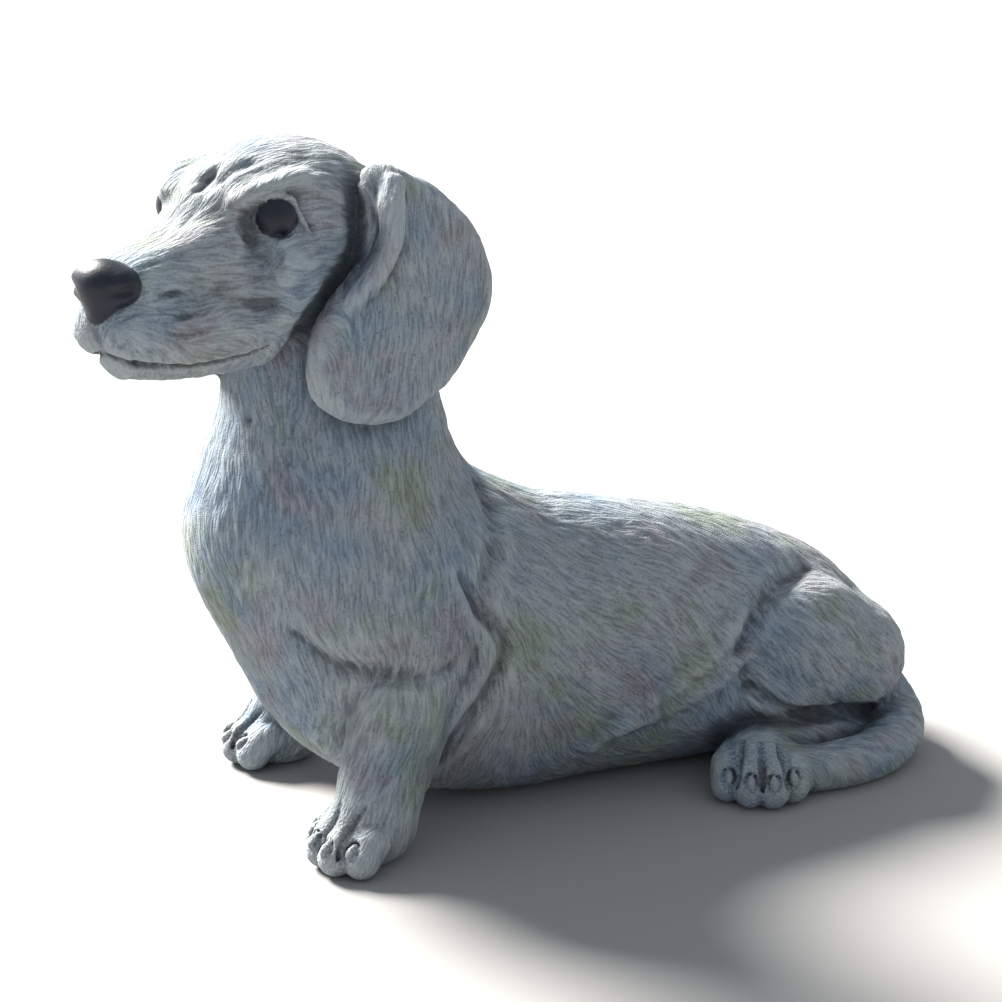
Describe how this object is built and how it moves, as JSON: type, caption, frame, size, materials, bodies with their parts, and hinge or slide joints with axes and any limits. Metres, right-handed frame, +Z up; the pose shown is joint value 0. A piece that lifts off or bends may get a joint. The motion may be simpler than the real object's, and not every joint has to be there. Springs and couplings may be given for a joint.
{
  "type": "dachshund garden statue",
  "caption": "Cast garden statue of a sitting dachshund, belly on the ground, head turned to its left, tail laid along its left thigh.",
  "frame": {"origin": "on the ground, in the middle of the bounding box seen from above", "axes": "+Z up; -X towards the front, where the chest and the forelegs are; -Y towards the dog's left side, which its head is turned to"},
  "size_m": [0.4394, 0.1948, 0.3305],
  "materials": {
    "cast_stone": "weathered matte grey with darker, bluish and greenish recesses; eyes and nose painted near-black, semi-gloss"
  },
  "bodies": {
    "root": {"dachshund": "cast_stone"}
  },
  "joints": []
}
